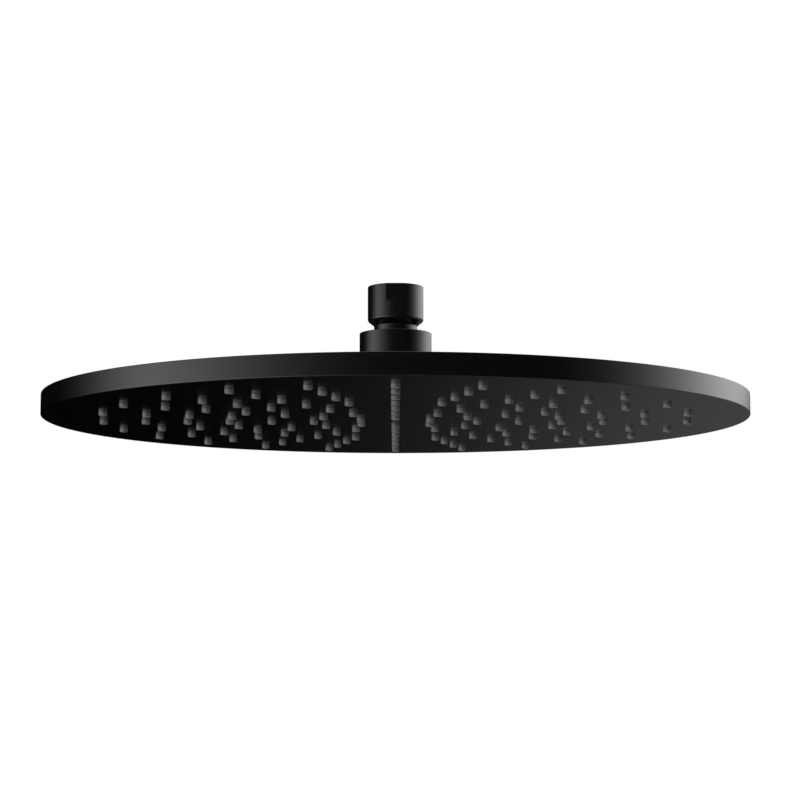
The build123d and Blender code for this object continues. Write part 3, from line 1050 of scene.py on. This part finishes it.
floor_paint, tree, shader, place = new_finish("matt_pale_floor_paint")
fleck = add(
    tree, "ShaderNodeTexNoise",
    {"Vector": place, "Scale": 1 / (FLECK_WIDTH * MM), "Detail": 3.0},
).outputs["Fac"]
tones = {"Factor": fleck, "A": linear(FLOOR_TONES[0]), "B": linear(FLOOR_TONES[1])}
paint = add(tree, "ShaderNodeMix", tones, data_type="RGBA")
seen = add(tree, "ShaderNodeLightPath").outputs["Is Camera Ray"]
glow = add(tree, "ShaderNodeMath", {0: seen, 1: FLOOR_GLOW}, operation="MULTIPLY")
tree.links.new(paint.outputs["Result"], shader.inputs["Base Color"])
tree.links.new(glow.outputs["Value"], shader.inputs["Emission Strength"])
shader.inputs["Emission Color"].default_value = linear(FLOOR_GLOW_COLOUR)
shader.inputs["Roughness"].default_value = 1.0
shader.inputs["Specular IOR Level"].default_value = 0.0
mesh = bmesh.new()
turn(mesh, outline((0.0, FLOOR_LEVEL), (FLOOR_RADIUS, FLOOR_LEVEL)), closed=False)
floor = to_object(mesh, "floor")
floor.data.materials.append(floor_paint)
floor.visible_diffuse = False
print("floor", -FLOOR_LEVEL, "mm below the inlet")

# %% [markdown]
# ## Cloths around the set
# A black gloss shows its surroundings more than its own colour. A photographer hangs black cloth
# around such an object, so that only the chosen lights show in it. Here a black cloth closes the
# sides and the top, and a grey one lies below. Only reflections see them: they cast no shadow and
# hide nothing.

# %% Black and grey cloth
CLOTH_DISTANCE = 2600.0
CLOTH_TOP = 1800.0
CLOTH_LIFT = 20.0
NAP_WIDTH = 3.0
cloth_foot = FLOOR_LEVEL + CLOTH_LIFT


def hang_cloth(name, corners, light, dark):
    """A cloth about the set, with a dull nap, that only reflections see."""
    finish, tree, shader, place = new_finish(name + "_nap")
    nap = add(
        tree, "ShaderNodeTexNoise",
        {"Vector": place, "Scale": 1 / (NAP_WIDTH * MM), "Detail": 2.0},
    ).outputs["Fac"]
    tones = {"Factor": nap, "A": linear(light), "B": linear(dark)}
    weave = add(tree, "ShaderNodeMix", tones, data_type="RGBA")
    tree.links.new(weave.outputs["Result"], shader.inputs["Base Color"])
    shader.inputs["Roughness"].default_value = 1.0
    shader.inputs["Specular IOR Level"].default_value = 0.0
    mesh = bmesh.new()
    turn(mesh, corners, closed=False)
    cloth = to_object(mesh, name)
    cloth.data.materials.append(finish)
    cloth.visible_camera = False
    cloth.visible_diffuse = False
    cloth.visible_shadow = False
    print(name, "hangs around the set")


around = [(CLOTH_DISTANCE, cloth_foot), (CLOTH_DISTANCE, CLOTH_TOP), (0.0, CLOTH_TOP)]
below = [(0.0, cloth_foot), (CLOTH_DISTANCE, cloth_foot)]
hang_cloth("black_cloth", around, "#010101", "#030303")
hang_cloth("grey_cloth", below, "#646464", "#6a6a6a")

# %% [markdown]
# ## Glowing paper
# The lights are sheets of glowing paper. A lamp behind paper is brightest in the middle and fades
# out to the sides, which a plain area lamp can't do, and the rim and the socket show exactly that
# fade. Each sheet is a grid of vertices that carry their own glow, and lets the light of a sheet
# behind it through.


# %% Paper for the lights
def hang_light(mesh, name, gloss=True, matt=True):
    """Make a light of a mesh whose vertices carry their glow, for gloss, matt surfaces or both."""
    glow_paper = bpy.data.materials.new(name + "_paper")
    glow_paper.use_nodes = True
    tree = glow_paper.node_tree
    tree.nodes.clear()
    glow = add(tree, "ShaderNodeAttribute", attribute_name="glow").outputs["Fac"]
    lamp = add(tree, "ShaderNodeEmission", {"Color": linear("#ffffff"), "Strength": glow})
    clear = add(tree, "ShaderNodeBsdfTransparent")
    layers = {0: lamp.outputs["Emission"], 1: clear.outputs["BSDF"]}
    both = add(tree, "ShaderNodeAddShader", layers)
    add(tree, "ShaderNodeOutputMaterial", {"Surface": both.outputs["Shader"]})
    light = to_object(mesh, name)
    light.data.materials.append(glow_paper)
    light.visible_camera = False
    light.visible_shadow = False
    light.visible_glossy = gloss
    light.visible_diffuse = matt
    print(name, "hung")


print("paper ready")

# %% [markdown]
# ## Lights around the object
# Two curved lights on the left and one on the right shape the object. Two dim ones, and two that
# only reflections see, keep the black from going dead. One that only matt surfaces see lights the
# nozzles from behind. Sheets that overlap hang at different distances.

# %% Side lights
# A sheet reaches this many times its fade to each side, in so many columns.
FADE_REACH = 3.4
LIGHT_COLUMNS = 60
# Levels of a light and the share of its glow at each.
LOW_BAND = ((-1150, 0.0), (-850, 1.0), (-450, 1.0), (-150, 0.0))


def soft_light(name, distance, middle, fades, radiance, levels, gloss=True, matt=True):
    """A curved light, brightest at one bearing, in degrees from the front to the right."""
    mesh = bmesh.new()
    layer = mesh.verts.layers.float.new("glow")
    left_fade, right_fade = fades
    columns = []
    for step in range(LIGHT_COLUMNS + 1):
        turned = FADE_REACH * (-left_fade + (left_fade + right_fade) * step / LIGHT_COLUMNS)
        fade = left_fade if turned < 0 else right_fade
        bearing = radians(middle + turned)
        bright = radiance * (exp(-((turned / fade) ** 2) / 2) - exp(-(FADE_REACH**2) / 2))
        column = []
        for level, share in levels:
            foot = Vector((distance * sin(bearing), -distance * cos(bearing), level))
            vertex = mesh.verts.new(foot * MM)
            vertex[layer] = share * bright
            column.append(vertex)
        columns.append(column)
    for left, right in zip(columns, columns[1:]):
        for row in range(len(levels) - 1):
            mesh.faces.new((left[row], right[row], right[row + 1], left[row + 1]))
    hang_light(mesh, name, gloss, matt)


soft_light(
    "left_soft_light", 2000, -76, (16, 26), 2.7,
    ((-1150, 0.0), (-850, 1.0), (-100, 1.0), (900, 0.0)),
)
soft_light("low_left_light", 2020, -44, (24, 24), 2.4, LOW_BAND)
soft_light(
    "right_soft_light", 2000, 113, (23, 21), 2.6,
    ((-60, 0.0), (150, 1.0), (1000, 1.0), (1300, 0.0)),
)
soft_light(
    "low_back_light", 2040, 163, (12, 8.5), 0.1,
    ((-900, 0.0), (-600, 1.0), (-150, 1.0), (-60, 0.0)),
)
soft_light(
    "front_fill", 2060, 18, (20, 16), 0.04,
    ((-600, 0.0), (-300, 1.0), (600, 1.0), (900, 0.0)),
)
soft_light(
    "edge_gloss", 2100, 148, (14, 14), 0.7,
    ((180, 0.0), (300, 1.0), (800, 1.0), (1100, 0.0)), matt=False,
)
soft_light(
    "low_right_gloss", 2080, 105, (24, 20), 2.2,
    ((-1200, 0.0), (-850, 1.0), (-550, 1.0), (-250, 0.0)), matt=False,
)
soft_light("back_fill", 2120, 180, (25, 25), 2.2, LOW_BAND, gloss=False)

# %% [markdown]
# ## Glow from above and below
# Seen from above, the cover is a black mirror of the ceiling. A hood of paper over the set glows
# softly, more to the back left, and fades out well above the camera's level, so the top shows a
# gentle gradient and the side that the camera sees stays as it is. A small round light straight
# below reaches the nozzles' tips but hardly their sides. Both are turned sheets with a glow for
# each ring.

# %% Hood and under light
# Each ring of a turned light: radius, level and share of the glow.
HOOD_RINGS = ((2250, 560, 0.0), (1900, 1200, 0.55), (1100, 1500, 0.85), (0, 1600, 1.0))
HOOD_CENTRE = (-250.0, 250.0)
UNDER_RINGS = ((0, -1200, 1.0), (300, -1200, 1.0), (550, -1200, 0.0))


def round_light(name, radiance, rings, centre=(0.0, 0.0), gloss=True, matt=True):
    """A turned light whose rings are (radius, level, share of the glow)."""
    mesh = bmesh.new()
    layer = mesh.verts.layers.float.new("glow")
    circles = turn(mesh, [ring[:2] for ring in rings], closed=False, centre=centre)
    for circle, (_, _, share) in zip(circles, rings):
        for vertex in circle:
            vertex[layer] = share * radiance
    hang_light(mesh, name, gloss, matt)


round_light("hood_gloss", 0.8, HOOD_RINGS, HOOD_CENTRE, matt=False)
round_light("under_light", 0.95, UNDER_RINGS, gloss=False)

# %% [markdown]
# ## The world
# The background is white for the camera and for reflections that get past the cloths. For the
# light that falls on the object it is a soft sky: a plain level from above, at which a colour
# looks about as it is written, and nearly nothing from below, so the nozzles keep their dark
# sides.

# %% World
WHITE = 1.0
SKY = 0.9
GROUND = 0.06
SKY_HEIGHT = 0.5

world = bpy.data.worlds.new("white_studio")
bpy.context.scene.world = world
world.use_nodes = True
tree = world.node_tree
tree.nodes.clear()
path = add(tree, "ShaderNodeLightPath").outputs
rays = {0: path["Is Camera Ray"], 1: path["Is Glossy Ray"]}
seen = add(tree, "ShaderNodeMath", rays, operation="MAXIMUM").outputs["Value"]
rays = {0: seen, 1: path["Is Transmission Ray"]}
seen = add(tree, "ShaderNodeMath", rays, operation="MAXIMUM").outputs["Value"]
towards = add(tree, "ShaderNodeTexCoord").outputs["Generated"]
height = add(tree, "ShaderNodeSeparateXYZ", {"Vector": towards}).outputs["Z"]
rise = {
    "Value": height, "From Min": 0.0, "From Max": SKY_HEIGHT,
    "To Min": GROUND, "To Max": SKY,
}
sky = add(tree, "ShaderNodeMapRange", rise).outputs["Result"]
soft = add(tree, "ShaderNodeBackground", {"Color": linear("#ffffff"), "Strength": sky})
white = add(tree, "ShaderNodeBackground", {"Color": linear("#ffffff"), "Strength": WHITE})
backgrounds = {0: seen, 1: soft.outputs["Background"], 2: white.outputs["Background"]}
mix = add(tree, "ShaderNodeMixShader", backgrounds)
add(tree, "ShaderNodeOutputWorld", {"Surface": mix.outputs["Shader"]})
print(world.name, "with a sky of", SKY)

# %% [markdown]
# ## The camera
# The camera stands in front and a little below the disc and looks slightly up, as in the
# photograph. Its place and lens were worked out from the outline of the disc and the socket, so
# that both fall on the same pixels.

# %% Camera
LENS = 91.3
SENSOR = 36.0
CAMERA_PLACE = (0.0, -0.8647, -0.1521)
LOOK_UP = 0.1187
LOOK_ASIDE = -0.0022

camera_data = bpy.data.cameras.new("camera")
camera_data.lens = LENS
camera_data.sensor_width = SENSOR
camera = bpy.data.objects.new("camera", camera_data)
camera.location = CAMERA_PLACE
camera.rotation_euler = (pi / 2 + LOOK_UP, 0.0, LOOK_ASIDE)
bpy.context.scene.collection.objects.link(camera)
bpy.context.scene.camera = camera
bpy.context.scene.view_settings.view_transform = "Standard"
print("camera", round(-camera.location.y / MM), "mm in front")
